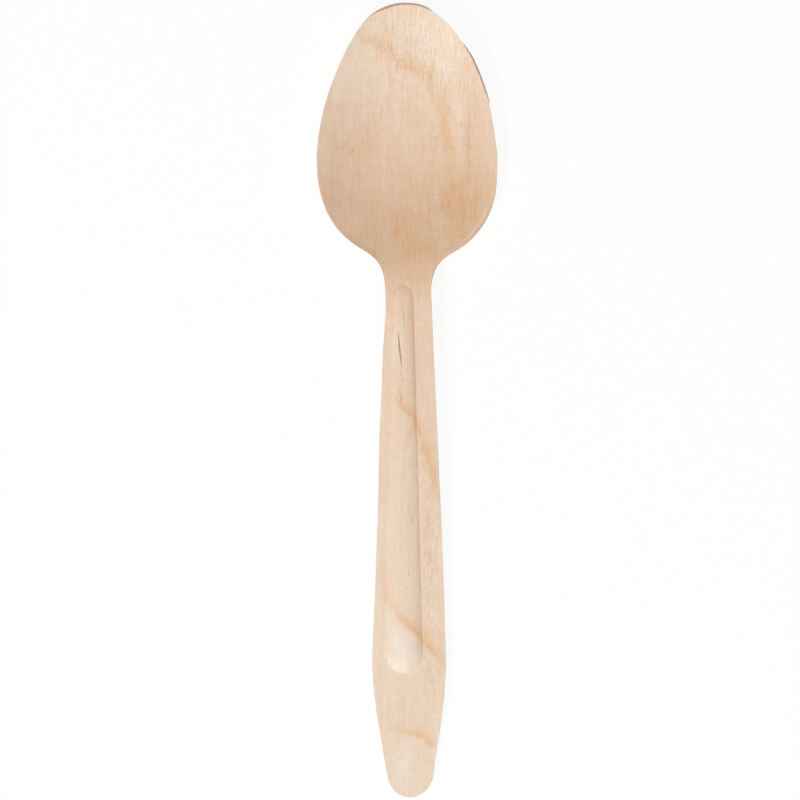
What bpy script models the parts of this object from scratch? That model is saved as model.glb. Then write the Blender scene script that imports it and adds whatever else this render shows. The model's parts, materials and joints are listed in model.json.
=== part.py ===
"""Disposable wooden spoon, hot-pressed from one sheet of birch veneer.

A flat blank is cut out of the veneer. A heated die then presses the bowl, the bend
of the neck and a stiffening rib into it, so the sheet keeps one thickness all over.

Lengths are in metres. The blank lies in XY with the tip of its bowl at the origin and
its handle along -Y; +Z is the side that holds the food. "Run" is the distance back
from the tip. At the end the spoon is set down on its bowl and the end of its handle.
"""

import math

import bmesh
import bpy
from mathutils import Matrix, Vector
from mathutils.geometry import interpolate_bezier

# Sheet
SHEET_THICKNESS = 0.0016
EDGE_ROUNDING = 0.00025

# Outline of the blank
LENGTH = 0.1600
BOWL_WIDTH = 0.0359
BOWL_WIDEST_RUN = 0.0328
SHOULDER_WIDTH = 0.0174
SHOULDER_RUN = 0.0500
SHOULDER_ANGLE = math.radians(59)
NECK_WIDTH = 0.0094
NECK_RUN = 0.0588
HANDLE_WIDTH = 0.0150
HANDLE_WIDEST_FROM_END = 0.0280
END_WIDTH = 0.0093
END_ROUND_LENGTH = 0.0044
END_TAPER_ANGLE = math.radians(10)

# How far each curve of the outline runs straight on from its points
TIP_FULLNESS = 0.0106
SIDE_FULLNESS = 0.0145
HEEL_FULLNESS = 0.0111
SHOULDER_SOFTNESS = 0.0042
NECK_SOFTNESS = 0.0040
FLARE_SOFTNESS = 0.0040
HIP_SOFTNESS = 0.0070
END_SOFTNESS = 0.0023

# Bowl
BOWL_DEPTH = 0.0050
BOWL_DEEPEST_RUN = 0.0240
BOWL_END_RUN = 0.0600
HEEL_SKEW = 1.3
WALL_POWER = 2.4
TIP_DROP = 0.0010
RIM_SAG = 0.0013

# Rib on the handle
RIB_TOP_RUN = 0.0570
RIB_TOP_WIDTH = 0.0040
RIB_END_WIDTH = 0.0073
RIB_END_FROM_END = 0.0252
RIB_OFFSET = -0.00105
RIB_FOOT_ANGLE = math.radians(30)
RIB_FOOT_SOFTNESS = 0.12
RIB_FULLNESS = 2.6
RIB_TOP_SHARE = 0.5
RIB_RISE_LENGTH = 0.0080

# Mesh
TIP_FAN_RADIUS = 0.0100
END_FAN_RADIUS = 0.0046
COLUMNS = 12
RIB_LEFT_COLUMN = -8
RIB_RIGHT_COLUMN = 3
RIB_COLUMN_BLEND = 0.0120
RIB_COLUMN_LIMIT = 0.9
ROWS = {"tip": 15, "side": 9, "shoulder": 9, "handle": 32, "hip": 18, "end": 6}
MERGE_DISTANCE = 1e-6
ROUNDING_SEGMENTS = 2
SHARP_EDGE_ANGLE = math.radians(60)
STEEPEST_LEAN = math.radians(20)
LEAN_STEPS = 40

# Wood
BIRCH_COLOUR = (0.76, 0.61, 0.46, 1.0)
BIRCH_ROUGHNESS = 0.62


def clear_scene():
    """Start from an empty scene."""
    for item in list(bpy.data.objects):
        bpy.data.objects.remove(item, do_unlink=True)


def mix(start, end, share):
    """Value a share of the way from start to end."""
    return start + (end - start) * share


def ease(share):
    """Rise from 0 to 1 that starts and ends level, and stays there outside that range."""
    share = min(max(share, 0.0), 1.0)
    return share ** 3 * (10 - 15 * share + 6 * share ** 2)


def heading(angle):
    """Direction in the outline: 0 points along the handle, a quarter turn points outwards."""
    return Vector((math.sin(angle), -math.cos(angle), 0))


def half_outline():
    """Right-hand edge of the blank, from the tip of the bowl round to the handle's end."""
    outwards = heading(math.pi / 2)
    along = heading(0)
    inwards = heading(-SHOULDER_ANGLE)
    tapering = heading(-END_TAPER_ANGLE)
    tip = Vector((0, 0, 0))
    widest = Vector((BOWL_WIDTH / 2, -BOWL_WIDEST_RUN, 0))
    shoulder = Vector((SHOULDER_WIDTH / 2, -SHOULDER_RUN, 0))
    neck = Vector((NECK_WIDTH / 2, -NECK_RUN, 0))
    hip = Vector((HANDLE_WIDTH / 2, HANDLE_WIDEST_FROM_END - LENGTH, 0))
    corner = Vector((END_WIDTH / 2, END_ROUND_LENGTH - LENGTH, 0))
    end = Vector((0, -LENGTH, 0))
    curves = [
        (tip, outwards * TIP_FULLNESS, along * -SIDE_FULLNESS, widest, ROWS["tip"]),
        (widest, along * HEEL_FULLNESS, inwards * -SHOULDER_SOFTNESS, shoulder, ROWS["side"]),
        (shoulder, inwards * SHOULDER_SOFTNESS, along * -NECK_SOFTNESS, neck, ROWS["shoulder"]),
        (neck, along * FLARE_SOFTNESS, along * -FLARE_SOFTNESS, hip, ROWS["handle"]),
        (hip, along * HIP_SOFTNESS, tapering * -HIP_SOFTNESS, corner, ROWS["hip"]),
        (corner, tapering * END_SOFTNESS, outwards * END_SOFTNESS, end, ROWS["end"]),
    ]
    edge = [tip]
    for start, leaving, arriving, finish, rows in curves:
        points = interpolate_bezier(start, start + leaving, finish + arriving, finish, rows + 1)
        edge += points[1:]
    return edge


def half_width(edge, run):
    """Half the blank's width at a run, read from its edge."""
    for ahead, behind in zip(edge, edge[1:]):
        if -behind.y >= run:
            return mix(ahead.x, behind.x, (run + ahead.y) / (ahead.y - behind.y))
    return edge[-1].x


def floor_height(run):
    """Height of the sheet's middle on the spoon's centre line.

    Towards the neck the floor climbs slowly at first and then faster.
    """
    if run < BOWL_DEEPEST_RUN:
        return mix(-BOWL_DEPTH, -TIP_DROP, (1 - run / BOWL_DEEPEST_RUN) ** 2)
    share = min((run - BOWL_DEEPEST_RUN) / (BOWL_END_RUN - BOWL_DEEPEST_RUN), 1.0)
    return -BOWL_DEPTH * (1 + math.cos(math.pi * share ** HEEL_SKEW)) / 2


def rim_height(run):
    """Height of the sheet's middle at the spoon's edge."""
    share = min(run / BOWL_END_RUN, 1.0)
    return -TIP_DROP * (1 - ease(share)) - RIM_SAG * (4 * share * (1 - share)) ** 2


def rib_section(run):
    """Half the rib's width at a run, and how far the run lies past its nearer end's centre."""
    top_centre = RIB_TOP_RUN + RIB_TOP_WIDTH / 2
    end_centre = LENGTH - RIB_END_FROM_END - RIB_END_WIDTH / 2
    nearest = min(max(run, top_centre), end_centre)
    share = (nearest - top_centre) / (end_centre - top_centre)
    return mix(RIB_TOP_WIDTH, RIB_END_WIDTH, share) / 2, abs(run - nearest)


def rib_height(across, run):
    """Rise of the rib above the handle: a low dome in section, with a round end each way.

    The end at the neck is lower, and rises to the full dome on its way down the handle.
    """
    radius, past = rib_section(run)
    dome = 1 - (math.hypot(across - RIB_OFFSET, past) / radius) ** RIB_FULLNESS
    if abs(dome) < RIB_FOOT_SOFTNESS:
        dome = (dome + RIB_FOOT_SOFTNESS) ** 2 / (4 * RIB_FOOT_SOFTNESS)
    crest = math.tan(RIB_FOOT_ANGLE) * radius / RIB_FULLNESS
    risen = mix(RIB_TOP_SHARE, 1, ease((run - RIB_TOP_RUN) / RIB_RISE_LENGTH))
    return max(dome, 0.0) * crest * risen


def pressed(point, edge):
    """Place that the die gives a point of the blank."""
    run = -point.y
    lift = floor_height(run)
    width = half_width(edge, run)
    if width > 0:
        out = min(abs(point.x) / width, 1.0)
        lift += (rim_height(run) - lift) * out ** WALL_POWER
    return Vector((point.x, point.y, lift + rib_height(point.x, run)))


def column_share(column, half, run):
    """Where a column crosses a row, from -1 at the left edge to 1 at the right edge.

    Beside the rib, one column runs along each foot of it, so both creases are crisp.
    """
    radius, past = rib_section(run)
    left_foot = max((RIB_OFFSET - radius) / half, -RIB_COLUMN_LIMIT)
    right_foot = min((RIB_OFFSET + radius) / half, RIB_COLUMN_LIMIT)
    if column < RIB_LEFT_COLUMN:
        beside = mix(-1, left_foot, (column + COLUMNS) / (RIB_LEFT_COLUMN + COLUMNS))
    elif column < RIB_RIGHT_COLUMN:
        across = (column - RIB_LEFT_COLUMN) / (RIB_RIGHT_COLUMN - RIB_LEFT_COLUMN)
        beside = mix(left_foot, right_foot, across)
    else:
        beside = mix(right_foot, 1, (column - RIB_RIGHT_COLUMN) / (COLUMNS - RIB_RIGHT_COLUMN))
    return mix(beside, column / COLUMNS, ease(past / RIB_COLUMN_BLEND))


def cut_blank(edge):
    """Flat sheet of the blank's outline: rows across it that fan out round both ends."""
    sheet = bmesh.new()
    rows = len(edge) - 1
    bmesh.ops.create_grid(sheet, x_segments=2 * COLUMNS, y_segments=rows, size=0.5)
    for vertex in sheet.verts:
        column = round((vertex.co.x + 0.5) * 2 * COLUMNS) - COLUMNS
        side = edge[rows - round((vertex.co.y + 0.5) * rows)]
        middle = min(max(side.y, END_FAN_RADIUS - LENGTH), -TIP_FAN_RADIUS)
        share = column / COLUMNS
        if middle == side.y:
            share = column_share(column, side.x, -side.y)
        vertex.co = Vector((side.x * share, mix(middle, side.y, abs(share)), 0))
    bmesh.ops.remove_doubles(sheet, verts=sheet.verts, dist=MERGE_DISTANCE)
    return sheet


def press(sheet, edge):
    """Press the bowl, the neck and the rib into the flat blank."""
    for vertex in sheet.verts:
        vertex.co = pressed(vertex.co, edge)


def birch():
    """Bare birch veneer, cut with a knife and pressed smooth."""
    material = bpy.data.materials.new("birch")
    material.use_nodes = True
    shader = material.node_tree.nodes["Principled BSDF"]
    shader.inputs["Base Color"].default_value = BIRCH_COLOUR
    shader.inputs["Roughness"].default_value = BIRCH_ROUGHNESS
    shader.inputs["Metallic"].default_value = 0.0
    material.diffuse_color = BIRCH_COLOUR
    return material


def give_thickness(spoon):
    """Turn the pressed sheet into a wall of veneer with softened edges."""
    wall = spoon.modifiers.new("veneer", "SOLIDIFY")
    wall.thickness = SHEET_THICKNESS
    wall.offset = 0.0
    wall.use_even_offset = True
    softened = spoon.modifiers.new("softened edges", "BEVEL")
    softened.width = EDGE_ROUNDING
    softened.segments = ROUNDING_SEGMENTS
    softened.limit_method = "ANGLE"
    softened.angle_limit = SHARP_EDGE_ANGLE


def corners(spoon):
    """Corners of the finished spoon in world space."""
    finished = spoon.evaluated_get(bpy.context.evaluated_depsgraph_get())
    return [spoon.matrix_world @ vertex.co for vertex in finished.data.vertices]


def lean(points):
    """Angle of the line that the bowl's belly and the end of the handle both rest on."""
    middle = -LENGTH / 2
    low, high = 0.0, STEEPEST_LEAN
    for _ in range(LEAN_STEPS):
        angle = (low + high) / 2
        turn = Matrix.Rotation(angle, 3, "X")
        turned = [(point.y, (turn @ point).z) for point in points]
        bowl = min(height for along, height in turned if along > middle)
        handle = min(height for along, height in turned if along <= middle)
        low, high = (angle, high) if bowl < handle else (low, angle)
    return angle


def set_down(spoon):
    """Rest the spoon on the ground plane, with the world's origin under its middle."""
    spoon.rotation_euler.x = lean(corners(spoon))
    bpy.context.view_layer.update()
    points = corners(spoon)
    lowest = Vector([min(point[axis] for point in points) for axis in range(3)])
    highest = Vector([max(point[axis] for point in points) for axis in range(3)])
    centre = (lowest + highest) / 2
    spoon.location -= Vector((centre.x, centre.y, lowest.z))
    bpy.context.view_layer.update()


def build_spoon(collection):
    """The spoon: one piece of pressed veneer."""
    edge = half_outline()
    sheet = cut_blank(edge)
    press(sheet, edge)
    mesh = bpy.data.meshes.new("spoon")
    sheet.to_mesh(mesh)
    sheet.free()
    mesh.materials.append(birch())
    mesh.shade_smooth()
    spoon = bpy.data.objects.new("spoon", mesh)
    collection.objects.link(spoon)
    give_thickness(spoon)
    bpy.context.view_layer.update()
    set_down(spoon)
    return spoon


clear_scene()
wooden_spoon = bpy.data.collections.new("wooden spoon")
bpy.context.scene.collection.children.link(wooden_spoon)
build_spoon(wooden_spoon)
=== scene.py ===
"""Looks of a disposable wooden spoon: one piece of birch veneer, die-cut and hot-pressed.

Lengths are in metres, and in millimetres where a name ends in _MM. The blank lies in XY
with the tip of its bowl at the origin and its handle along -Y; +Z is the side that holds
the food. "Run" is the distance back from the tip. The pressed spoon is then set down on
its bowl and the end of its handle, in the place that the frame gives it.
"""
import json
import math

import bpy
import numpy as np
from mathutils import Matrix, Vector
from mathutils.geometry import interpolate_bezier
from mathutils.kdtree import KDTree


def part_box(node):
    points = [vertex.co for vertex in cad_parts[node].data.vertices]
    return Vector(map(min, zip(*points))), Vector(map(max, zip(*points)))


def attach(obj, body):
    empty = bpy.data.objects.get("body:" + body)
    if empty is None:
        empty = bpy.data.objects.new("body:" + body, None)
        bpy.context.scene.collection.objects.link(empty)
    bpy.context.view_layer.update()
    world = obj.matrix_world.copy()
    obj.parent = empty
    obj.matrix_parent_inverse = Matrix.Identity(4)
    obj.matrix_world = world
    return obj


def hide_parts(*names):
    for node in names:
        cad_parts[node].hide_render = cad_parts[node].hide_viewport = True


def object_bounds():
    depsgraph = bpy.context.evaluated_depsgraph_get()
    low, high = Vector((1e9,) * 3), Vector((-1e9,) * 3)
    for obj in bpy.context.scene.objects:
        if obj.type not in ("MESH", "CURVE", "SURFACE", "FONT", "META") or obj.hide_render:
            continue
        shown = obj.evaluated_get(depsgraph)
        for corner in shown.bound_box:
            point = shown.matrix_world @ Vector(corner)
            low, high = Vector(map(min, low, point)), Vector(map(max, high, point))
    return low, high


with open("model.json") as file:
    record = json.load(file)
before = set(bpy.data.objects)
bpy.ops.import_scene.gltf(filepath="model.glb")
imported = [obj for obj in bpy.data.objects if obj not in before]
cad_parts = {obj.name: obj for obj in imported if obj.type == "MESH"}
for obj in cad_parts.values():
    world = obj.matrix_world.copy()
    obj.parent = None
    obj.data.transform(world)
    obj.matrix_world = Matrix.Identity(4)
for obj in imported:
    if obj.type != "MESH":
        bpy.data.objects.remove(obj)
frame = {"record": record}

cad_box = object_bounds()

MM = 0.001

# Sheet
SHEET_THICKNESS = 0.0016
EDGE_ROUNDING = 0.00022

# Outline of the blank. A fullness or a softness is how far a curve runs straight on from the
# point where it starts or ends
LENGTH = 0.1600
BOWL_WIDTH = 0.0359
BOWL_WIDEST_RUN = 0.0328
SHOULDER_WIDTH = 0.0174
SHOULDER_RUN = 0.0500
SHOULDER_ANGLE = math.radians(59)
NECK_WIDTH = 0.0094
NECK_RUN = 0.0588
HANDLE_WIDTH = 0.0150
HANDLE_WIDEST_FROM_END = 0.0280
END_WIDTH = 0.0093
END_ROUND_LENGTH = 0.0044
END_TAPER_ANGLE = math.radians(10)
TIP_FULLNESS = 0.0106
SIDE_FULLNESS = 0.0145
HEEL_FULLNESS = 0.0111
SHOULDER_SOFTNESS = 0.0042
NECK_SOFTNESS = 0.0040
FLARE_SOFTNESS = 0.0040
HIP_SOFTNESS = 0.0070
END_SOFTNESS = 0.0023

# Bowl. A higher skew keeps it deep for longer towards the heel, and a higher power makes its
# walls flatter below and steeper above
BOWL_DEPTH = 0.0050
BOWL_DEEPEST_RUN = 0.0240
BOWL_END_RUN = 0.0600
HEEL_SKEW = 1.3
WALL_POWER = 2.4
TIP_DROP = 0.0010
RIM_SAG = 0.0013

# Rib on the handle. A higher fullness flattens its crest, and at its top end it rises from a
# share of its full height
RIB_TOP_RUN = 0.0570
RIB_TOP_WIDTH = 0.0040
RIB_TOP_LENGTH = 0.0030
RIB_END_WIDTH = 0.0072
RIB_END_LENGTH = 0.0044
RIB_END_FROM_END = 0.0252
RIB_OFFSET = -0.00105
RIB_FOOT_ANGLE = math.radians(30)
RIB_FOOT_SOFTNESS = 0.08
RIB_FULLNESS = 2.6
RIB_TOP_SHARE = 0.5
RIB_RISE_LENGTH = 0.0080

# Mesh. Its rows fan out round both ends, and two of its columns follow the feet of the rib
TIP_FAN_RADIUS = 0.0100
END_FAN_RADIUS = 0.0046
COLUMNS = 38
RIB_LEFT_COLUMN = -25
RIB_RIGHT_COLUMN = 10
RIB_COLUMN_BLEND = 0.0120
RIB_COLUMN_LIMIT = 0.9
ROWS = {"tip": 62, "side": 38, "shoulder": 34, "handle": 190, "hip": 112, "end": 26}
MERGE_DISTANCE = 1e-6
ROUNDING_SEGMENTS = 2
SHARP_EDGE_ANGLE = math.radians(55)

# Cut edge, in mm: station along the outline from the tip, how far outside the blank's
# outline the knife cut there, and how wide its cut face shows from above
CUT_LEFT_MM = [
    (0, -0.10, 0.40),
    (4, 0.14, 0.54),
    (6, 0.34, 0.40),
    (8, 0.40, 0.14),
    (9.5, 0.40, 0.0),
    (13, 0.12, 0.0),
    (20, -0.08, 0.0),
    (29, 0.18, 0.0),
    (38, 0.36, 0.0),
    (48, 0.04, 0.0),
    (60, -0.07, 0.0),
    (70, -0.14, 0.0),
    (75, -0.33, 0.0),
    (82, -0.05, 0.0),
    (100, 0.05, 0.0),
    (115, -0.20, 0.0),
    (132, -0.20, 0.0),
    (150, -0.02, 0.0),
    (162, -0.17, 0.0),
    (169, -0.12, 0.0),
    (172.5, 0.09, 0.0),
    (175.3, 0.06, 0.0),
]
CUT_RIGHT_MM = [
    (0, -0.10, 0.40),
    (4, -0.05, 0.36),
    (5, -0.12, 0.26),
    (6, -0.35, 0.0),
    (9, -0.22, 0.0),
    (14, -0.30, 0.0),
    (15.5, 0.0, 0.24),
    (18, 0.25, 0.38),
    (25, 0.28, 0.36),
    (27, 0.35, 0.22),
    (28.5, 0.10, 0.0),
    (34, 0.03, 0.0),
    (38, 0.18, 0.0),
    (42, 0.12, 0.0),
    (46, 0.36, 0.05),
    (54, 0.52, 0.32),
    (58, 0.62, 0.38),
    (62, 0.52, 0.40),
    (66, 0.20, 0.22),
    (70, 0.0, 0.0),
    (76, 0.08, 0.0),
    (82, 0.05, 0.0),
    (115, 0.14, 0.0),
    (130, 0.05, 0.0),
    (145, -0.10, 0.0),
    (155, 0.02, 0.0),
    (166, 0.0, 0.0),
    (171, 0.28, 0.0),
    (172.5, 0.22, 0.0),
    (175.3, 0.06, 0.0),
]

# How far in from the edge the sheet follows it, and how far the cut face leans in where it
# doesn't show
CUT_BLEND = 0.0030
UNDERCUT = 0.00006

# Crack along the rib, in mm: both its ends, each as a place across and along the blank, then
# its width and its depth
CRACK_ENDS_MM = [(-2.0, 66.2), (-1.3, 73.4)]
CRACK_WIDTH_MM = 0.30
CRACK_DEPTH_MM = 0.55
CUTTER_SEGMENTS = 12
CUTTER_RINGS = 16

# Growth rings that the knife cut at a slant, in mm: the reach of the honey-coloured wood on a
# ring's right, and points along the ring with how strong the colour is there
RINGS_MM = {
    "bowl": (2.0, [
        (-12.6, 6.3, 0.15),
        (-11.3, 6.8, 0.20),
        (-8.1, 8.1, 0.40),
        (-5.3, 9.7, 0.40),
        (-3.3, 11.6, 0.24),
        (-0.8, 13.2, 0.50),
        (1.6, 14.4, 0.60),
        (3.6, 15.5, 0.45),
        (4.7, 17.6, 0.14),
        (5.5, 20.2, 0.32),
        (6.4, 23.4, 0.47),
        (7.3, 26.6, 0.45),
        (7.9, 30.2, 0.40),
        (8.0, 35.8, 0.30),
        (8.0, 47.9, 0.15),
        (8.6, 50.3, 0.0),
    ]),
    "upper handle": (1.1, [
        (-2.7, 79.9, 0.32),
        (-2.2, 81.0, 0.55),
        (-0.8, 82.0, 0.66),
        (0.6, 83.2, 0.66),
        (1.5, 85.5, 0.66),
        (2.1, 87.9, 0.60),
        (2.8, 90.4, 0.66),
        (3.5, 92.2, 0.60),
        (4.1, 93.8, 0.62),
        (4.5, 96.2, 0.52),
        (5.3, 98.4, 0.38),
        (6.1, 101.8, 0.38),
    ]),
    "lower handle": (1.4, [
        (-5.5, 109.0, 0.0),
        (-5.4, 116.0, 0.25),
        (-4.9, 120.8, 0.32),
        (-2.8, 122.5, 0.42),
        (-1.6, 124.6, 0.68),
        (-0.1, 125.9, 0.78),
        (1.5, 127.4, 0.76),
        (2.5, 128.7, 0.64),
        (3.3, 129.6, 0.64),
        (4.2, 130.6, 0.64),
        (5.4, 131.8, 0.54),
        (7.2, 133.8, 0.32),
    ]),
    "end": (1.4, [
        (-4.6, 145.4, 0.0),
        (-2.9, 146.6, 0.30),
        (-1.1, 147.3, 0.45),
        (1.0, 147.8, 0.60),
        (1.9, 148.3, 0.76),
        (2.8, 148.6, 0.65),
        (3.7, 149.7, 0.68),
        (4.4, 150.0, 0.58),
        (5.6, 150.2, 0.0),
    ]),
}

# How warm the wood is along the spoon, 0 where it is palest, in mm from the tip. Its rise to the
# heel, round 50 mm, is partly the wood's own tone and partly painted shade where the heel slopes
# away from the lamp
WARMTH_AND_SHADE_ALONG_MM = [
    (0, 0.35),
    (12, 0.40),
    (22, 0.48),
    (32, 0.60),
    (42, 0.79),
    (50, 0.88),
    (55, 0.82),
    (60, 0.62),
    (68, 0.44),
    (85, 0.40),
    (110, 0.31),
    (160, 0.28),
]

# Soft patches in the wood, in mm: place across and along, half size across and along, and how
# much warmer and lighter the wood is there. Some of them are painted light, shade or highlight,
# each marked where it stands
PATCHES_MM = [
    # Lighter here: painted light on the bowl's left wall
    (-12.0, 14.0, 6.0, 7.0, -0.18, 0.03),
    # Paler here: a painted highlight where the bowl's tip faces the lamp
    (4.0, 9.0, 4.2, 7.5, -0.34, -0.015),
    (-8.0, 5.8, 3.5, 2.2, -0.14, 0.0),
    (-2.6, 8.6, 4.0, 2.4, 0.10, 0.0),
    (0.5, 11.0, 3.0, 2.6, 0.08, 0.0),
    (6.5, 24.0, 2.4, 9.0, 0.08, -0.01),
    (10.3, 24.5, 1.3, 7.0, -0.30, 0.015),
    (12.3, 28.0, 0.55, 9.0, 0.32, 0.0),
    # Darker here: painted shade on the bowl's right wall
    (13.5, 24.0, 3.4, 12.0, 0.05, -0.05),
    (8.8, 38.5, 4.6, 4.6, 0.16, -0.01),
    (11.5, 40.0, 4.0, 8.0, 0.06, -0.03),
    (-10.7, 29.2, 4.5, 2.6, 0.14, 0.0),
    (-12.9, 29.0, 1.4, 0.8, 0.14, 0.0),
    (-10.8, 29.6, 1.0, 0.8, 0.12, 0.0),
    (-12.0, 21.0, 4.0, 1.2, 0.08, 0.0),
    (-14.0, 37.0, 3.0, 5.0, 0.05, -0.02),
    (-1.0, 45.0, 1.6, 6.0, 0.16, 0.0),
    (1.5, 49.0, 3.0, 4.0, 0.03, -0.02),
    (-12.0, 45.0, 3.0, 3.0, -0.15, 0.02),
    (-1.0, 55.5, 2.6, 1.6, -0.08, 0.0),
    (4.0, 66.0, 1.6, 10.0, 0.06, -0.01),
    (-1.8, 80.0, 0.7, 1.8, 0.15, 0.0),
    (4.3, 89.6, 1.0, 1.2, 0.30, 0.0),
    (5.0, 97.0, 0.8, 1.4, 0.25, 0.0),
    (-1.8, 67.0, 2.4, 5.0, -0.12, 0.01),
    (3.4, 112.0, 1.4, 18.0, 0.16, 0.0),
    # Lighter here: painted light on the rib's right flank, against the shade of its shape
    (1.2, 108.0, 0.9, 24.0, 0.06, 0.035),
    (-5.1, 117.5, 0.6, 7.0, 0.20, 0.0),
    (-6.2, 124.0, 1.0, 7.0, -0.14, 0.0),
    (-1.2, 127.0, 2.4, 5.0, -0.18, 0.02),
    # Paler and pinker in these two: a painted highlight where the rib's lower end faces the lamp
    (-1.4, 130.8, 2.8, 3.4, -0.36, -0.01),
    (-2.6, 133.6, 2.2, 1.4, -0.35, -0.05),
    (-4.5, 44.0, 3.0, 4.0, 0.08, 0.0),
    (5.1, 95.0, 1.0, 5.0, 0.20, -0.03),
    (1.6, 75.5, 1.2, 9.0, 0.12, -0.025),
    (-5.0, 84.0, 1.2, 4.0, -0.10, 0.0),
    (3.9, 60.5, 1.5, 3.5, -0.12, 0.0),
    (5.0, 128.0, 2.0, 3.0, 0.16, 0.0),
    (-1.6, 152.5, 3.0, 6.0, -0.20, 0.0),
    (0.5, 144.5, 4.0, 3.0, 0.12, 0.0),
]

# Grain, in mm: width and length of its marks, how finely they break up, and how much darker
# and warmer the wood is in the strongest of them than between them. Birch fibres are 0.02 mm
# wide and its pores 0.1 mm, too fine to show here, so bundles of 0.3 mm or more are drawn
GRAIN_MM = {
    "fibres": (0.46, 11.0, 2.0, 0.02, 0.34),
    "fine fibres": (0.30, 3.0, 1.0, 0.07, 0.22),
    "pores": (0.42, 0.60, 1.0, 0.08, 0.24),
    "streaks": (1.6, 26.0, 2.0, 0.0, 0.28),
    "ripple": (3.0, 1.1, 2.0, 0.03, 0.14),
    "mottle": (2.2, 3.2, 2.0, 0.02, 0.32),
}

# How much livelier the grain is where flecks are crowded
FLECKED_GRAIN = 1.3

# Colour of a growth ring, in shares of its reach: from where to where it runs, how strong it is
# on that way, and how far the fibres and the mottle move it
RING_START = -0.4
RING_END = 2.2
RING_PROFILE = [(0.0, 0.0), (0.15, 0.4), (0.25, 0.8), (0.38, 0.68), (0.62, 0.24), (1.0, 0.0)]
RING_BRUSHING = (0.6, 1.4)
RING_WOBBLE = 0.5

# Vessel flecks: their size, which noise values they start and peak at, how many there are
# outside the clusters, and how brown they are
FLECK_WIDTH_MM = 0.24
FLECK_LENGTH_MM = 2.0
FLECK_RARITY = (0.58, 0.72)
FLECKS_ANYWHERE = 0.02
FLECK_STRENGTH = 0.34

# Darker line along the rib's foot, partly pressed fibres and partly painted shade: its width, how
# strong it is, its least share of that on the rib's left side, which faces the lamp, and how strong
# it is along the spoon, in mm from the tip
CREASE_WIDTH_MM = 0.32
CREASE_STRENGTH = 0.34
CREASE_LEAST = 0.15
CREASE_ALONG_MM = [
    (58, 0.9),
    (64, 1.0),
    (86, 0.9),
    (112, 0.5),
    (120, 0.42),
    (127, 0.2),
    (134, 0.0),
]

# Sheen and relief, and the values between which nearly all of a noise lies
NOISE_RANGE = (0.3, 0.7)
VENEER_ROUGHNESS = (0.54, 0.66)
VENEER_SPECULAR = 0.3
CUT_ROUGHNESS = 0.7
CUT_SPECULAR = 0.15
BUMP_STRENGTH = 0.35
BUMP_HEIGHT = 0.00003

# Fibres on the cut edge, in mm: width and length of their marks, and how finely they break up
EDGE_FIBRE_MM = (0.12, 1.2)
EDGE_FIBRE_DETAIL = 2.0

# Painted highlight along the upper edge of the bowl's heel, where its rounded arris faces the lamp,
# in mm: points along it with how pale it is there, and how wide the pale line is
HEEL_EDGE_HIGHLIGHT_MM = [
    (17.4, 37.0, 0.0),
    (16.6, 40.1, 0.15),
    (14.9, 43.7, 0.35),
    (12.6, 46.9, 0.35),
    (9.6, 49.4, 0.30),
    (7.8, 50.4, 0.40),
    (6.2, 52.0, 0.0),
]
HEEL_HIGHLIGHT_WIDTH_MM = 0.4

# Clusters of vessel flecks, in mm: place across and along, half size across and along, and how
# crowded they are there
FLECKS_MM = [
    (0.0, 6.0, 9.0, 9.0, 0.45),
    (-2.6, 8.5, 1.8, 1.6, 0.5),
    (-0.8, 13.0, 2.4, 2.0, 0.5),
    (5.8, 13.2, 3.0, 3.0, 0.5),
    (0.0, 30.0, 14.0, 22.0, 0.20),
    (10.4, 21.2, 3.0, 9.0, 0.45),
    (12.4, 29.3, 0.8, 3.0, 0.3),
    (9.5, 41.0, 4.0, 4.0, 0.4),
    (3.5, 92.0, 2.0, 6.0, 0.5),
    (4.5, 112.0, 2.0, 16.0, 0.6),
    (4.5, 134.0, 2.0, 5.0, 0.5),
]

# Single marks, in mm: place across and along, half size across and along, turn in degrees, and
# how strong they are. The scuffs are pale lines that the die has rubbed across the grain. The
# pins are dark vessels, pin knots and hairline cracks
SCUFFS_MM = [
    (-9.6, 33.4, 7.0, 0.32, 0, 0.13),
    (-3.6, 33.0, 2.6, 0.40, 0, 0.13),
    (3.6, 32.6, 4.6, 0.36, 0, 0.14),
    (14.7, 32.6, 1.4, 0.40, 0, 0.17),
    (-7.9, 39.5, 2.3, 0.34, 0, 0.16),
    (6.6, 46.5, 5.9, 0.30, 0, 0.17),
    (2.4, 53.3, 1.2, 0.24, 37, 0.26),
    (0.0, 56.4, 0.3, 0.5, 0, 0.35),
    (3.2, 64.8, 1.8, 0.34, 0, 0.28),
    (-4.0, 64.3, 0.9, 0.45, 0, 0.45),
]
PINS_MM = [
    (0.0, 17.7, 0.16, 0.30, 0, 0.70),
    (-2.0, 9.2, 0.14, 0.55, 0, 0.50),
    (-11.1, 29.8, 0.16, 0.55, -15, 0.65),
    (-0.85, 63.2, 0.17, 3.9, 5, 0.50),
    (-1.7, 69.4, 0.22, 3.4, 5, 0.35),
    (-1.35, 74.2, 0.16, 1.9, 0, 0.42),
    (-0.9, 75.7, 0.55, 0.20, 0, 0.34),
    (-1.5, 79.3, 0.18, 2.2, 10, 0.52),
    (0.65, 104.0, 0.22, 0.85, 0, 0.55),
    (0.0, 114.7, 0.20, 1.0, 0, 0.32),
    (3.4, 110.8, 0.18, 0.85, 0, 0.35),
    (5.7, 114.0, 0.16, 0.80, 0, 0.30),
    (4.4, 118.5, 0.18, 0.42, 10, 0.65),
    (3.8, 120.4, 0.16, 0.95, 0, 0.45),
    (-1.3, 122.8, 0.14, 0.80, 0, 0.25),
    (4.2, 136.5, 0.14, 0.90, 0, 0.30),
    (1.9, 151.5, 0.22, 0.45, 0, 0.28),
    (1.2, 154.9, 0.22, 0.40, 0, 0.22),
]

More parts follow.
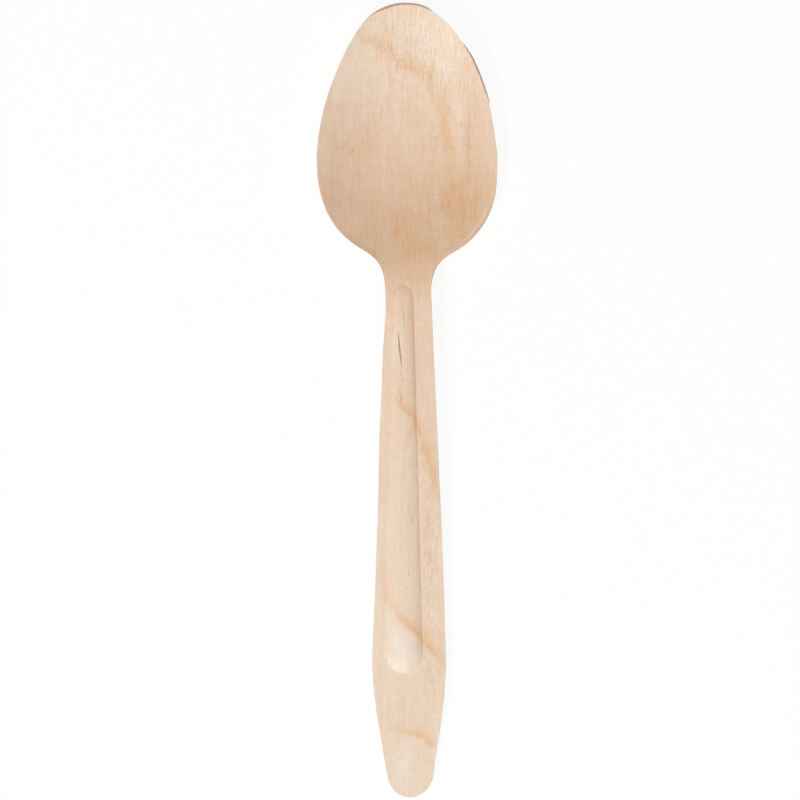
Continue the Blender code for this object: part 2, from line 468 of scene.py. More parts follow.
# How deep a single mark reaches, and the share of its size that is as strong as its middle
MARK_DEPTH_MM = 0.9
MARK_CORE = 0.2

# Columns of the tables of patches and clusters
WARMTH_COLUMN = 4
LIGHTNESS_COLUMN = 5
CROWD_COLUMN = 4

# Colours
PALE_BIRCH = "#EDDCC9"
HONEY_BIRCH = "#E2BA95"
# Pale of the scuffs, and of the painted highlight on the heel's edge
SCUFFED_AND_HIGHLIGHT_BIRCH = "#F3E6D8"
VESSEL_BROWN = "#B87E48"
# Tan of the rib's crease: pressed fibres and painted shade
CREASE_SHADE_TAN = "#D89A5E"
RING_AMBER = "#E2A867"
CUT_PALE = "#F5D0B6"
CUT_ROSY = "#E8B494"
WHITE = (1, 1, 1, 1)

# Sockets of a node that mixes two colours
MIX_SHARE = 0
MIX_FROM = 6
MIX_TO = 7
MIX_RESULT = 2

# View of the photograph
IMAGE_PIXELS = 800
PIXEL = 0.0002013
VIEW_CENTRE = (-0.00165, -0.0001)
VIEW_ROLL = math.radians(-0.2)
LENS_MM = 300
SENSOR_MM = 36

# Light
AMBIENT = 0.20
KEY_AZIMUTH = math.radians(57)
KEY_ELEVATION = math.radians(45)
KEY_DISTANCE = 2.5
KEY_SIZE = 0.62
KEY_WATTS = 43.0
OVERHEAD_WATTS = 11.7
OVERHEAD_HEIGHT = 2.0
OVERHEAD_SIZE = 1.6
FLOOR_SIZE = 4.0
FLOOR_GLOW = 0.92


def mix(start, end, share):
    """Value a share of the way from start to end."""
    return start + (end - start) * share


def ease(share):
    """Rise from 0 to 1 that starts and ends level, and stays there outside that range."""
    share = np.clip(share, 0.0, 1.0)
    return share ** 3 * (10 - 15 * share + 6 * share ** 2)


def heading(angle):
    """Direction in the outline: 0 points along the handle, a quarter turn points outwards."""
    return Vector((math.sin(angle), -math.cos(angle), 0))


def half_outline():
    """Right-hand edge of the blank, from the tip of the bowl round to the handle's end."""
    outwards = heading(math.pi / 2)
    along = heading(0)
    inwards = heading(-SHOULDER_ANGLE)
    tapering = heading(-END_TAPER_ANGLE)
    tip = Vector((0, 0, 0))
    widest = Vector((BOWL_WIDTH / 2, -BOWL_WIDEST_RUN, 0))
    shoulder = Vector((SHOULDER_WIDTH / 2, -SHOULDER_RUN, 0))
    neck = Vector((NECK_WIDTH / 2, -NECK_RUN, 0))
    hip = Vector((HANDLE_WIDTH / 2, HANDLE_WIDEST_FROM_END - LENGTH, 0))
    corner = Vector((END_WIDTH / 2, END_ROUND_LENGTH - LENGTH, 0))
    end = Vector((0, -LENGTH, 0))
    curves = [
        (tip, outwards * TIP_FULLNESS, along * -SIDE_FULLNESS, widest, ROWS["tip"]),
        (widest, along * HEEL_FULLNESS, inwards * -SHOULDER_SOFTNESS, shoulder, ROWS["side"]),
        (shoulder, inwards * SHOULDER_SOFTNESS, along * -NECK_SOFTNESS, neck, ROWS["shoulder"]),
        (neck, along * FLARE_SOFTNESS, along * -FLARE_SOFTNESS, hip, ROWS["handle"]),
        (hip, along * HIP_SOFTNESS, tapering * -HIP_SOFTNESS, corner, ROWS["hip"]),
        (corner, tapering * END_SOFTNESS, outwards * END_SOFTNESS, end, ROWS["end"]),
    ]
    edge = [tip]
    for start, leaving, arriving, finish, rows in curves:
        points = interpolate_bezier(start, start + leaving, finish + arriving, finish, rows + 1)
        edge += points[1:]
    return np.array([point[:2] for point in edge])


def floor_height(run):
    """Height of the sheet's middle on the spoon's centre line."""
    front = mix(-BOWL_DEPTH, -TIP_DROP, (1 - run / BOWL_DEEPEST_RUN) ** 2)
    share = np.clip((run - BOWL_DEEPEST_RUN) / (BOWL_END_RUN - BOWL_DEEPEST_RUN), 0.0, 1.0)
    heel = -BOWL_DEPTH * (1 + np.cos(math.pi * share ** HEEL_SKEW)) / 2
    return np.where(run < BOWL_DEEPEST_RUN, front, heel)


def rim_height(run):
    """Height of the sheet's middle at the spoon's edge."""
    share = np.clip(run / BOWL_END_RUN, 0.0, 1.0)
    return -TIP_DROP * (1 - ease(share)) - RIM_SAG * (4 * share * (1 - share)) ** 2


def rib_section(run):
    """Half the rib's width at a run, and how far the run lies past where its nearer end begins.

    Both ends are half ovals, and the distance past their start is scaled as if they were round.
    """
    top_start = RIB_TOP_RUN + RIB_TOP_LENGTH
    end_start = LENGTH - RIB_END_FROM_END - RIB_END_LENGTH
    nearest = np.clip(run, top_start, end_start)
    radius = mix(RIB_TOP_WIDTH, RIB_END_WIDTH, (nearest - top_start) / (end_start - top_start)) / 2
    length = np.where(run < nearest, RIB_TOP_LENGTH, RIB_END_LENGTH)
    return radius, np.abs(run - nearest) * radius / length


def rib_height(across, run):
    """Rise of the rib above the handle: a low dome in section, with a round end each way."""
    radius, past = rib_section(run)
    dome = 1 - (np.hypot(across - RIB_OFFSET, past) / radius) ** RIB_FULLNESS
    softened = (dome + RIB_FOOT_SOFTNESS) ** 2 / (4 * RIB_FOOT_SOFTNESS)
    dome = np.where(np.abs(dome) < RIB_FOOT_SOFTNESS, softened, dome)
    crest = math.tan(RIB_FOOT_ANGLE) * radius / RIB_FULLNESS
    risen = mix(RIB_TOP_SHARE, 1, ease((run - RIB_TOP_RUN) / RIB_RISE_LENGTH))
    return np.maximum(dome, 0.0) * crest * risen


def pressed_height(across, run, edge):
    """Height that the die gives to a place on the blank."""
    width = np.interp(run, -edge[:, 1], edge[:, 0])
    out = np.clip(np.abs(across) / np.maximum(width, MERGE_DISTANCE), 0.0, 1.0)
    middle = floor_height(run)
    wall = (rim_height(run) - middle) * out ** WALL_POWER
    return middle + np.where(width > MERGE_DISTANCE, wall, 0.0) + rib_height(across, run)


def column_share(column, half, run):
    """Where a column crosses a row, from -1 at the left edge to 1 at the right edge.

    Beside the rib, one column runs along each foot of it, so both creases are crisp.
    """
    radius, past = rib_section(run)
    left_foot = np.maximum((RIB_OFFSET - radius) / half, -RIB_COLUMN_LIMIT)
    right_foot = np.minimum((RIB_OFFSET + radius) / half, RIB_COLUMN_LIMIT)
    left = mix(-1, left_foot, (column + COLUMNS) / (RIB_LEFT_COLUMN + COLUMNS))
    across = (column - RIB_LEFT_COLUMN) / (RIB_RIGHT_COLUMN - RIB_LEFT_COLUMN)
    rib = mix(left_foot, right_foot, across)
    right = mix(right_foot, 1, (column - RIB_RIGHT_COLUMN) / (COLUMNS - RIB_RIGHT_COLUMN))
    beside = np.where(column < RIB_LEFT_COLUMN, left, np.where(column < RIB_RIGHT_COLUMN, rib, right))
    return mix(beside, column / COLUMNS, ease(past / RIB_COLUMN_BLEND))


def read_points(piece):
    """Places of a mesh's points, one row each."""
    points = np.empty(3 * len(piece.data.vertices))
    piece.data.vertices.foreach_get("co", points)
    return points.reshape(-1, 3)


def write_points(piece, points):
    """Move a mesh's points."""
    piece.data.vertices.foreach_set("co", points.ravel())
    piece.data.update()


def choose(piece):
    """Make a piece the only one selected, and the active one."""
    bpy.ops.object.select_all(action="DESELECT")
    piece.select_set(True)
    bpy.context.view_layer.objects.active = piece


def apply_modifiers(piece):
    """Make a piece's modifiers part of its mesh."""
    choose(piece)
    for modifier in list(piece.modifiers):
        bpy.ops.object.modifier_apply(modifier=modifier.name)


def cut_blank(edge):
    """Flat sheet of the blank's outline: rows across it that fan out round both ends."""
    rows = len(edge) - 1
    bpy.ops.object.select_all(action="DESELECT")
    bpy.ops.mesh.primitive_grid_add(x_subdivisions=2 * COLUMNS, y_subdivisions=rows, size=1)
    blank = bpy.context.active_object
    blank.name = "wooden_spoon"
    points = read_points(blank)
    column = np.rint((points[:, 0] + 0.5) * 2 * COLUMNS) - COLUMNS
    side = edge[rows - np.rint((points[:, 1] + 0.5) * rows).astype(int)]
    middle = np.clip(side[:, 1], END_FAN_RADIUS - LENGTH, -TIP_FAN_RADIUS)
    half = np.maximum(side[:, 0], MERGE_DISTANCE)
    share = np.where(middle == side[:, 1], column_share(column, half, -side[:, 1]), column / COLUMNS)
    points[:, 0] = side[:, 0] * share
    points[:, 1] = mix(middle, side[:, 1], np.abs(share))
    write_points(blank, points)
    bpy.ops.object.mode_set(mode="EDIT")
    bpy.ops.mesh.select_all(action="SELECT")
    bpy.ops.mesh.remove_doubles(threshold=MERGE_DISTANCE)
    bpy.ops.object.mode_set(mode="OBJECT")
    return blank


def press(blank, edge):
    """Press the bowl, the neck and the rib into the flat blank."""
    points = read_points(blank)
    points[:, 2] = pressed_height(points[:, 0], -points[:, 1], edge)
    write_points(blank, points)


def give_thickness(spoon):
    """Turn the pressed sheet into a wall of veneer."""
    wall = spoon.modifiers.new("veneer", "SOLIDIFY")
    wall.thickness = SHEET_THICKNESS
    wall.offset = 0.0
    wall.use_even_offset = True
    wall.material_offset_rim = 1
    apply_modifiers(spoon)


def from_rim(points, edge):
    """Each point's depth inside the outline, the nearest place on it and its outward direction."""
    tree = KDTree(len(edge))
    for index, place in enumerate(edge):
        tree.insert((*place, 0), index)
    tree.balance()
    folded = np.column_stack([np.abs(points[:, 0]), points[:, 1], np.zeros(len(points))])
    nearest = np.array([tree.find(place)[1] for place in folded])
    ahead = np.gradient(edge, axis=0)
    outward = np.column_stack([-ahead[:, 1], ahead[:, 0]]) / np.hypot(ahead[:, 0], ahead[:, 1])[:, None]
    outward = outward[nearest]
    depth = ((edge[nearest] - folded[:, :2]) * outward).sum(axis=1)
    outward[:, 0] *= np.where(points[:, 0] < 0, -1, 1)
    return depth, nearest, outward


def knife_cut(station, on_left):
    """How far outside the outline the knife cut, and how wide its cut face shows from above."""
    left = np.array(CUT_LEFT_MM) * MM
    right = np.array(CUT_RIGHT_MM) * MM
    return [np.where(on_left, np.interp(station, left[:, 0], left[:, column]),
                     np.interp(station, right[:, 0], right[:, column])) for column in (1, 2)]


def trim_edge(spoon, sheet, edge):
    """Move both faces' edges to where the knife cut them, and let that fade into the sheet."""
    depth, nearest, outward = from_rim(sheet, edge)
    steps = np.hypot(*np.diff(edge, axis=0).T)
    station = np.concatenate([[0], np.cumsum(steps)])[nearest]
    reach, shown = knife_cut(station, sheet[:, 0] < 0)
    points = read_points(spoon)
    underside, topside = sorted(np.split(points, 2), key=lambda face: face[:, 2].mean())
    goals = ((underside, np.where(shown > 0, reach, reach - UNDERCUT)), (topside, reach - shown))
    for face, goal in goals:
        stands_out = ((face[:, :2] - sheet[:, :2]) * outward).sum(axis=1)
        shift = (goal - stands_out) * ease(1 - depth / CUT_BLEND)
        face[:, :2] += outward * shift[:, None]
    write_points(spoon, points)


def soften_edges(spoon):
    """Round both arrises a little, as the hot die leaves them."""
    softened = spoon.modifiers.new("softened edges", "BEVEL")
    softened.width = EDGE_ROUNDING
    softened.segments = ROUNDING_SEGMENTS
    softened.limit_method = "ANGLE"
    softened.angle_limit = SHARP_EDGE_ANGLE
    apply_modifiers(spoon)


def split_rib(spoon, edge):
    """Open the crack that the die has torn along the rib's crest."""
    start, finish = (Vector(place) * MM for place in CRACK_ENDS_MM)
    middle = (start + finish) / 2
    lean = math.atan2(finish.x - start.x, finish.y - start.y)
    crest = float(pressed_height(middle.x, middle.y, edge)) + SHEET_THICKNESS / 2
    half_size = (CRACK_WIDTH_MM * MM / 2, (finish - start).length / 2, CRACK_DEPTH_MM * MM)
    bpy.ops.object.select_all(action="DESELECT")
    bpy.ops.mesh.primitive_uv_sphere_add(
        segments=CUTTER_SEGMENTS, ring_count=CUTTER_RINGS, radius=1,
        location=(middle.x, -middle.y, crest), rotation=(0, 0, lean), scale=half_size)
    cutter = bpy.context.active_object
    cutter.data.materials.append(spoon.data.materials[0])
    crack = spoon.modifiers.new("crack", "BOOLEAN")
    crack.operation = "DIFFERENCE"
    crack.object = cutter
    apply_modifiers(spoon)
    bpy.data.objects.remove(cutter, do_unlink=True)


def beside_line(across, run, line):
    """Distance from a line, plus on its right, and the line's strength at the nearest place on it."""
    offset = np.full(len(across), np.inf)
    strength = np.zeros(len(across))
    for (x0, y0, strength0), (x1, y1, strength1) in zip(line, line[1:]):
        length = math.hypot(x1 - x0, y1 - y0)
        ahead_x, ahead_y = (x1 - x0) / length, (y1 - y0) / length
        share = np.clip(((across - x0) * ahead_x + (run - y0) * ahead_y) / length, 0, 1)
        off_x = across - mix(x0, x1, share)
        off_y = run - mix(y0, y1, share)
        side = np.where(off_x * ahead_y - off_y * ahead_x < 0, -1, 1)
        nearer = np.hypot(off_x, off_y) < np.abs(offset)
        offset = np.where(nearer, side * np.hypot(off_x, off_y), offset)
        strength = np.where(nearer, mix(strength0, strength1, share), strength)
    return offset, strength


def along_spoon(run, table):
    """Value of a table at each run."""
    runs, values = zip(*table)
    return np.interp(run, runs, values)


def patches(across, run, spots, column):
    """Sum of soft round spots, each as strong as its column says."""
    total = np.zeros(len(across))
    for spot in spots:
        x, y, half_width, half_length = spot[:4]
        total += spot[column] * np.exp(-((across - x) / half_width) ** 2 - ((run - y) / half_length) ** 2)
    return total


def keep(spoon, name, values):
    """Store one number on each point, for the materials."""
    attribute = spoon.data.attributes.new(name, "FLOAT", "POINT")
    attribute.data.foreach_set("value", values.astype(np.float32))


def nearest_ring(across, run):
    """Distance from the nearest growth ring, in shares of its reach, and its strength there."""
    offset = np.full(len(across), np.inf)
    strength = np.zeros(len(across))
    for reach, line in RINGS_MM.values():
        line_offset, line_strength = beside_line(across, run, line)
        nearer = np.abs(line_offset) < np.abs(offset)
        strength = np.where(nearer, line_strength, strength)
        offset = np.where(nearer, line_offset / reach, offset)
    return offset, strength


def crease_shade(across, run):
    """Distance from the rib's foot, and how dark its pressed and painted-shade line is there."""
    radius, past = rib_section(run * MM)
    from_middle = np.hypot(across * MM - RIB_OFFSET, past)
    to_right = (across * MM - RIB_OFFSET) / np.maximum(from_middle, MERGE_DISTANCE)
    at_top = np.where(run * MM < RIB_TOP_RUN + RIB_TOP_LENGTH, past / radius, 0)
    # Strongest on the rib's right and round its top end, which face away from the lamp: painted shade
    darkening = along_spoon(run, CREASE_ALONG_MM) * np.clip(np.maximum(to_right, at_top), CREASE_LEAST, 1)
    return (from_middle - radius) / MM, darkening


def add_figure(spoon, edge):
    """Store each point's place in the flat sheet, in mm, and what the wood and its painted light are like
    there.
    """
    points = read_points(spoon)
    points[:, 2] -= pressed_height(points[:, 0], -points[:, 1], edge)
    points /= MM
    sheet = spoon.data.attributes.new("sheet", "FLOAT_VECTOR", "POINT")
    sheet.data.foreach_set("vector", points.astype(np.float32).ravel())
    across, run = points[:, 0], -points[:, 1]
    # The warmth along the spoon carries painted shade at the heel
    warmth = along_spoon(run, WARMTH_AND_SHADE_ALONG_MM) + patches(across, run, PATCHES_MM, WARMTH_COLUMN)
    keep(spoon, "warmth", warmth)
    keep(spoon, "lightness", 1 + patches(across, run, PATCHES_MM, LIGHTNESS_COLUMN))
    keep(spoon, "flecks", patches(across, run, FLECKS_MM, CROWD_COLUMN))
    # Painted highlight on the heel's upper edge, on the top face only
    highlight_offset, highlight_strength = beside_line(across, run, HEEL_EDGE_HIGHLIGHT_MM)
    lines = {
        "ring": nearest_ring(across, run),
        "crease": crease_shade(across, run),
        "heel_highlight": (highlight_offset, np.where(points[:, 2] > 0, highlight_strength, 0)),
    }
    for name, (offset, strength) in lines.items():
        keep(spoon, name + "_offset", offset)
        keep(spoon, name + "_strength", strength)


def resting_place(spoon):
    """Lean and shift that set the spoon down where the frame's spoon rests."""
    underside = next(mount for mount in frame["record"]["mounts"] if mount["name"] == "handle_underside")
    down = Vector(underside["axis"])
    turn = Matrix.Rotation(math.atan2(down.y, -down.z), 4, "X")
    points = read_points(spoon) @ np.array(turn.to_3x3()).T
    lowest, highest = points.min(axis=0), points.max(axis=0)
    cad_lowest, cad_highest = (np.array(corner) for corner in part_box("spoon"))
    shift = (cad_lowest + cad_highest - lowest - highest) / 2
    shift[2] = cad_lowest[2] - lowest[2]
    return Matrix.Translation(Vector(shift)) @ turn


def make_spoon():
    """The spoon: one piece of pressed veneer, which stands for the frame's plain solid."""
    edge = half_outline()
    spoon = cut_blank(edge)
    press(spoon, edge)
    spoon.data.materials.append(birch_veneer())
    spoon.data.materials.append(birch_cut_edge())
    sheet = read_points(spoon)
    give_thickness(spoon)
    resting = resting_place(spoon)
    trim_edge(spoon, sheet, edge)
    soften_edges(spoon)
    split_rib(spoon, edge)
    add_figure(spoon, edge)
    spoon.data.transform(resting)
    choose(spoon)
    bpy.ops.object.shade_smooth_by_angle(angle=SHARP_EDGE_ANGLE)
    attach(spoon, "root")
    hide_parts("spoon")


def add_node(tree, kind, inputs=None, **settings):
    """Add a node with its settings; each input takes a value or a link from a socket."""
    node = tree.nodes.new(kind)
    for name, value in settings.items():
        setattr(node, name, value)
    for socket, value in (inputs or {}).items():
        if isinstance(value, bpy.types.NodeSocket):
            tree.links.new(value, node.inputs[socket])
        else:
            node.inputs[socket].default_value = value
    return node


def linear(colour):
    """Linear colour of an sRGB hex value."""
    channels = [int(colour[start:start + 2], 16) / 255 for start in (1, 3, 5)]
    return [value / 12.92 if value <= 0.04045 else ((value + 0.055) / 1.055) ** 2.4
            for value in channels] + [1]


def start_material(name):
    """New material, its node tree and its shader."""
    material = bpy.data.materials.new(name)
    material.use_nodes = True
    return material, material.node_tree, material.node_tree.nodes["Principled BSDF"]


def raise_fibres(tree, shader, height):
    """Give a material the fibres' slight relief."""
    bump = add_node(tree, "ShaderNodeBump",
                    {"Height": height, "Strength": BUMP_STRENGTH, "Distance": BUMP_HEIGHT})
    tree.links.new(bump.outputs[0], shader.inputs["Normal"])


def grain_marks(tree, place, width, length, detail):
    """Noise in the sheet whose marks have one width, and one length along the grain."""
    stretched = add_node(tree, "ShaderNodeMapping",
                         {"Vector": place, "Scale": (1 / width, 1 / length, 1 / width)})
    noise = add_node(tree, "ShaderNodeTexNoise",
                     {"Vector": stretched.outputs[0], "Scale": 1, "Detail": detail})
    return noise.outputs[0]


def birch_grain(tree, place):
    """Each kind of mark in the grain, and how much lighter and warmer they make the wood."""
    marks = {}
    lighter = sum(shade for *size, shade, warmth in GRAIN_MM.values()) / 2
    warmer = -sum(warmth for *size, warmth in GRAIN_MM.values()) / 2
    for name, (*size, shade, warmth) in GRAIN_MM.items():
        marks[name] = grain_marks(tree, place, *size)
        lighter = add_node(tree, "ShaderNodeMath", {0: marks[name], 1: -shade, 2: lighter},
                           operation="MULTIPLY_ADD").outputs[0]
        warmer = add_node(tree, "ShaderNodeMath", {0: marks[name], 1: warmth, 2: warmer},
                          operation="MULTIPLY_ADD").outputs[0]
    return marks, lighter, warmer


def growth_rings(tree, marks):
    """How strong the growth rings' honey colour is: sharp on one side, brushed out on the other."""
    offset = add_node(tree, "ShaderNodeAttribute", attribute_name="ring_offset").outputs["Fac"]
    strength = add_node(tree, "ShaderNodeAttribute", attribute_name="ring_strength").outputs["Fac"]
    brush = add_node(tree, "ShaderNodeMapRange",
                     {"Value": marks["fibres"], "From Min": NOISE_RANGE[0], "From Max": NOISE_RANGE[1],
                      "To Min": RING_BRUSHING[0], "To Max": RING_BRUSHING[1]}).outputs[0]
    wobble = add_node(tree, "ShaderNodeMapRange",
                      {"Value": marks["mottle"], "To Min": -RING_WOBBLE, "To Max": RING_WOBBLE}).outputs[0]
    brushed = add_node(tree, "ShaderNodeMath", {0: offset, 1: brush, 2: wobble}, operation="MULTIPLY_ADD")
    scaled = add_node(tree, "ShaderNodeMapRange",
                      {"Value": brushed.outputs[0], "From Min": RING_START, "From Max": RING_END})
    profile = add_node(tree, "ShaderNodeValToRGB", {0: scaled.outputs[0]})
    ramp = profile.color_ramp
    # A new ramp has a stop at either end, and both make way for the profile's own
    ramp.elements.remove(ramp.elements[1])
    for position, value in RING_PROFILE:
        ramp.elements.new(position).color = (value, value, value, 1)
    ramp.elements.remove(ramp.elements[0])
    ring = add_node(tree, "ShaderNodeMath", {0: profile.outputs[0], 1: strength}, operation="MULTIPLY")
    return ring.outputs[0]


def vessel_flecks(tree, place, crowd):
    """How brown the wood's short, scattered vessel flecks are."""
    vessels = grain_marks(tree, place, FLECK_WIDTH_MM, FLECK_LENGTH_MM, 0)
    sparse = add_node(tree, "ShaderNodeMapRange",
                      {"Value": vessels, "From Min": FLECK_RARITY[0], "From Max": FLECK_RARITY[1]})
    crowded = add_node(tree, "ShaderNodeMath", {0: crowd, 1: FLECKS_ANYWHERE}, operation="ADD")
    flecked = add_node(tree, "ShaderNodeMath", {0: sparse.outputs[0], 1: crowded.outputs[0]},
                       operation="MULTIPLY", use_clamp=True)
    return add_node(tree, "ShaderNodeMath", {0: flecked.outputs[0], 1: FLECK_STRENGTH},
                    operation="MULTIPLY").outputs[0]


def soft_line(tree, name, width, tone):
    """How strong a soft line is, from each point's distance from it and strength on it."""
    offset = add_node(tree, "ShaderNodeAttribute", attribute_name=name + "_offset").outputs["Fac"]
    strength = add_node(tree, "ShaderNodeAttribute", attribute_name=name + "_strength").outputs["Fac"]
    distance = add_node(tree, "ShaderNodeMath", {0: offset}, operation="ABSOLUTE").outputs[0]
    near = add_node(tree, "ShaderNodeMapRange",
                    {"Value": distance, "From Min": 0.0, "From Max": width,
                     "To Min": tone, "To Max": 0.0}, interpolation_type="SMOOTHSTEP").outputs[0]
    return add_node(tree, "ShaderNodeMath", {0: near, 1: strength}, operation="MULTIPLY").outputs[0]


def single_marks(tree, place, marks):
    """How strong the strongest of some oval marks is at a place."""
    strongest = 0.0
    for across, run, half_width, half_length, turn, tone in marks:
        inside = add_node(tree, "ShaderNodeMapping",
                          {"Vector": place, "Location": (across, -run, SHEET_THICKNESS / 2 / MM),
                           "Rotation": (0, 0, math.radians(turn)),
                           "Scale": (half_width, half_length, MARK_DEPTH_MM)}, vector_type="TEXTURE")
        reach = add_node(tree, "ShaderNodeVectorMath", {0: inside.outputs[0]}, operation="LENGTH")
        mark = add_node(tree, "ShaderNodeMapRange",
                        {"Value": reach.outputs["Value"], "From Min": 1.0, "From Max": MARK_CORE,
                         "To Min": 0.0, "To Max": tone})
        strongest = add_node(tree, "ShaderNodeMath", {0: strongest, 1: mark.outputs[0]},
                             operation="MAXIMUM").outputs[0]
    return strongest


def birch_veneer():
    """Birch veneer, peeled with a knife and hot-pressed, bare.

    It gives pale matt wood with fine straight fibres, short brown vessel flecks, and honey-coloured
    growth rings with one sharp side, which fade into the fibres on the other. It also carries
    painted light: a highlight on the heel's edge and where parts face the lamp, and shade in the
    rib's crease and at the heel.
    """
    material, tree, shader = start_material("hot_pressed_birch_veneer")
    place = add_node(tree, "ShaderNodeAttribute", attribute_name="sheet").outputs["Vector"]
    light = add_node(tree, "ShaderNodeAttribute", attribute_name="lightness").outputs["Fac"]
    warm = add_node(tree, "ShaderNodeAttribute", attribute_name="warmth").outputs["Fac"]
    crowd = add_node(tree, "ShaderNodeAttribute", attribute_name="flecks").outputs["Fac"]
    marks, lighter, warmer = birch_grain(tree, place)
    lively = add_node(tree, "ShaderNodeMath", {0: crowd, 1: FLECKED_GRAIN, 2: 1.0},
                      operation="MULTIPLY_ADD").outputs[0]
    light = add_node(tree, "ShaderNodeMath", {0: lighter, 1: lively, 2: light},
                     operation="MULTIPLY_ADD").outputs[0]
    warm = add_node(tree, "ShaderNodeMath", {0: warmer, 1: lively, 2: warm},
                    operation="MULTIPLY_ADD").outputs[0]
    wood = add_node(tree, "ShaderNodeMix",
                    {MIX_SHARE: warm, MIX_FROM: linear(PALE_BIRCH), MIX_TO: linear(HONEY_BIRCH)},
                    data_type="RGBA", clamp_factor=False).outputs[MIX_RESULT]
    pins = single_marks(tree, place, PINS_MM)
    brown = add_node(tree, "ShaderNodeMath", {0: vessel_flecks(tree, place, crowd), 1: pins},
                     operation="MAXIMUM").outputs[0]
    coats = (
        (growth_rings(tree, marks), RING_AMBER),
        (single_marks(tree, place, SCUFFS_MM), SCUFFED_AND_HIGHLIGHT_BIRCH),
        # Pale line on the heel's edge: a painted highlight
        (soft_line(tree, "heel_highlight", HEEL_HIGHLIGHT_WIDTH_MM, 1.0), SCUFFED_AND_HIGHLIGHT_BIRCH),
        # Darker line at the rib's foot: pressed fibres and painted shade
        (soft_line(tree, "crease", CREASE_WIDTH_MM, CREASE_STRENGTH), CREASE_SHADE_TAN),
        (brown, VESSEL_BROWN),
    )
    for share, colour in coats:
        wood = add_node(tree, "ShaderNodeMix",
                        {MIX_SHARE: share, MIX_FROM: wood, MIX_TO: linear(colour)},
                        data_type="RGBA").outputs[MIX_RESULT]
    wood = add_node(tree, "ShaderNodeVectorMath", {0: wood, "Scale": light},
                    operation="SCALE").outputs[0]
    tree.links.new(wood, shader.inputs["Base Color"])
    rough = add_node(tree, "ShaderNodeMapRange",
                     {"Value": marks["fine fibres"], "From Min": NOISE_RANGE[0], "From Max": NOISE_RANGE[1],
                      "To Min": VENEER_ROUGHNESS[0], "To Max": VENEER_ROUGHNESS[1]}).outputs[0]
    tree.links.new(rough, shader.inputs["Roughness"])
    shader.inputs["Specular IOR Level"].default_value = VENEER_SPECULAR
    height = add_node(tree, "ShaderNodeMath",
                      {0: marks["fine fibres"], 1: marks["fibres"]}).outputs[0]
    raise_fibres(tree, shader, height)
    return material


def birch_cut_edge():
    """Edge of the veneer, cut by a hot knife.

    It gives pale, slightly rosy wood, with the fibres' ends and sides in fine bands.
    """
    material, tree, shader = start_material("hot_cut_birch_edge")
    place = add_node(tree, "ShaderNodeAttribute", attribute_name="sheet").outputs["Vector"]
    fibres = grain_marks(tree, place, *EDGE_FIBRE_MM, EDGE_FIBRE_DETAIL)
    share = add_node(tree, "ShaderNodeMapRange",
                     {"Value": fibres, "From Min": NOISE_RANGE[0], "From Max": NOISE_RANGE[1]}).outputs[0]
    wood = add_node(tree, "ShaderNodeMix",
                    {MIX_SHARE: share, MIX_FROM: linear(CUT_PALE), MIX_TO: linear(CUT_ROSY)},
                    data_type="RGBA").outputs[MIX_RESULT]
    tree.links.new(wood, shader.inputs["Base Color"])
    shader.inputs["Roughness"].default_value = CUT_ROUGHNESS
    shader.inputs["Specular IOR Level"].default_value = CUT_SPECULAR
    raise_fibres(tree, shader, fibres)
    return material


def background_rays(tree):
    """1 for the rays that show the background itself: seen, mirrored or through glass."""
    path = add_node(tree, "ShaderNodeLightPath")
    rays = path.outputs["Is Camera Ray"]
    for ray in ("Is Glossy Ray", "Is Transmission Ray"):
        rays = add_node(tree, "ShaderNodeMath", {0: rays, 1: path.outputs[ray]},
                        operation="MAXIMUM").outputs[0]
    return rays


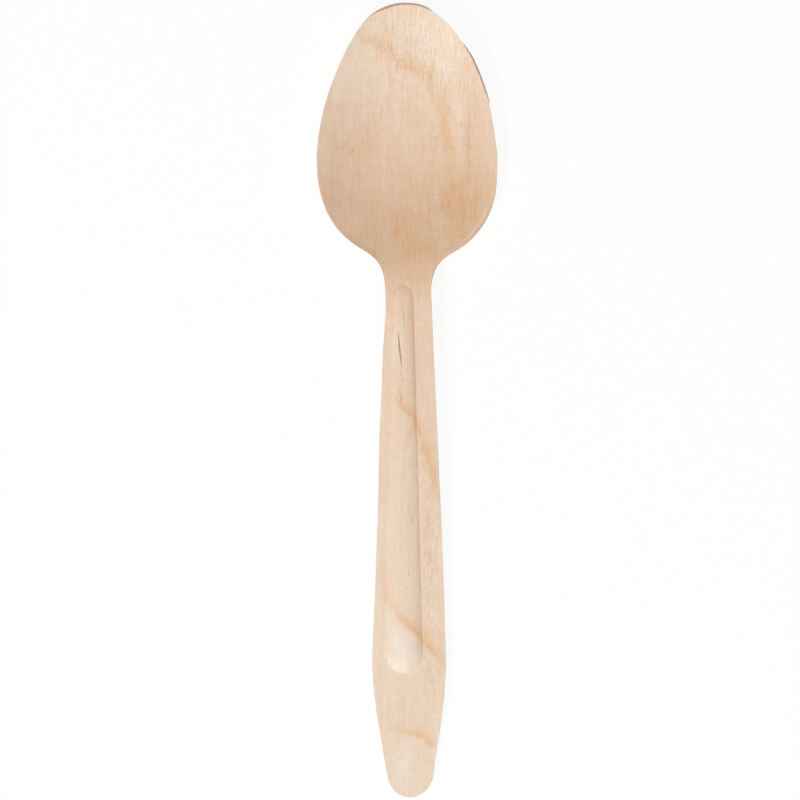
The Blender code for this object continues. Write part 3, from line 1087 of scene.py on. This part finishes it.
def lay_floor():
    """White paper sweep under the spoon: seen as white, but it keeps the spoon's shadow."""
    bpy.ops.object.select_all(action="DESELECT")
    bpy.ops.mesh.primitive_plane_add(size=FLOOR_SIZE)
    floor = bpy.context.active_object
    floor.name = "floor"
    material = bpy.data.materials.new("white_paper")
    material.use_nodes = True
    tree = material.node_tree
    tree.nodes.clear()
    share = add_node(tree, "ShaderNodeMath", {0: background_rays(tree), 1: FLOOR_GLOW},
                     operation="MULTIPLY")
    paper = add_node(tree, "ShaderNodeBsdfDiffuse", {"Color": WHITE})
    glow = add_node(tree, "ShaderNodeEmission", {"Color": WHITE})
    both = add_node(tree, "ShaderNodeMixShader",
                    {0: share.outputs[0], 1: paper.outputs[0], 2: glow.outputs[0]})
    add_node(tree, "ShaderNodeOutputMaterial", {"Surface": both.outputs[0]})
    floor.data.materials.append(material)


def hang_softbox(name, place, size, watts):
    """Round softbox that faces the spoon."""
    data = bpy.data.lights.new(name, "AREA")
    data.shape = "DISK"
    data.size = size
    data.energy = watts
    softbox = bpy.data.objects.new(name, data)
    softbox.location = place
    softbox.rotation_euler = place.to_track_quat("Z", "Y").to_euler()
    bpy.context.scene.collection.objects.link(softbox)


def light_scene():
    """Softbox half-way up on the left of the handle, one overhead, and a white room around."""
    direction = Vector((-math.cos(KEY_AZIMUTH) * math.cos(KEY_ELEVATION),
                        -math.sin(KEY_AZIMUTH) * math.cos(KEY_ELEVATION),
                        math.sin(KEY_ELEVATION)))
    hang_softbox("softbox", direction * KEY_DISTANCE, KEY_SIZE, KEY_WATTS)
    hang_softbox("ceiling_softbox", Vector((0, 0, OVERHEAD_HEIGHT)), OVERHEAD_SIZE, OVERHEAD_WATTS)
    world = bpy.data.worlds.new("white_room")
    bpy.context.scene.world = world
    world.use_nodes = True
    tree = world.node_tree
    tree.nodes.clear()
    strength = add_node(tree, "ShaderNodeMapRange",
                        {"Value": background_rays(tree), "To Min": AMBIENT, "To Max": 1.0})
    room = add_node(tree, "ShaderNodeBackground",
                    {"Color": WHITE, "Strength": strength.outputs[0]})
    add_node(tree, "ShaderNodeOutputWorld", {"Surface": room.outputs[0]})


def set_camera():
    """Camera straight above, far enough away to see the spoon without perspective."""
    data = bpy.data.cameras.new("camera")
    data.lens = LENS_MM
    data.sensor_width = SENSOR_MM
    camera = bpy.data.objects.new("camera", data)
    distance = IMAGE_PIXELS * PIXEL * LENS_MM / SENSOR_MM
    middle = (cad_box[0][2] + cad_box[1][2]) / 2
    camera.location = (*VIEW_CENTRE, middle + distance)
    camera.rotation_euler.z = VIEW_ROLL
    bpy.context.scene.collection.objects.link(camera)
    bpy.context.scene.camera = camera


bpy.context.scene.view_settings.view_transform = "Standard"
make_spoon()
lay_floor()
light_scene()
set_camera()
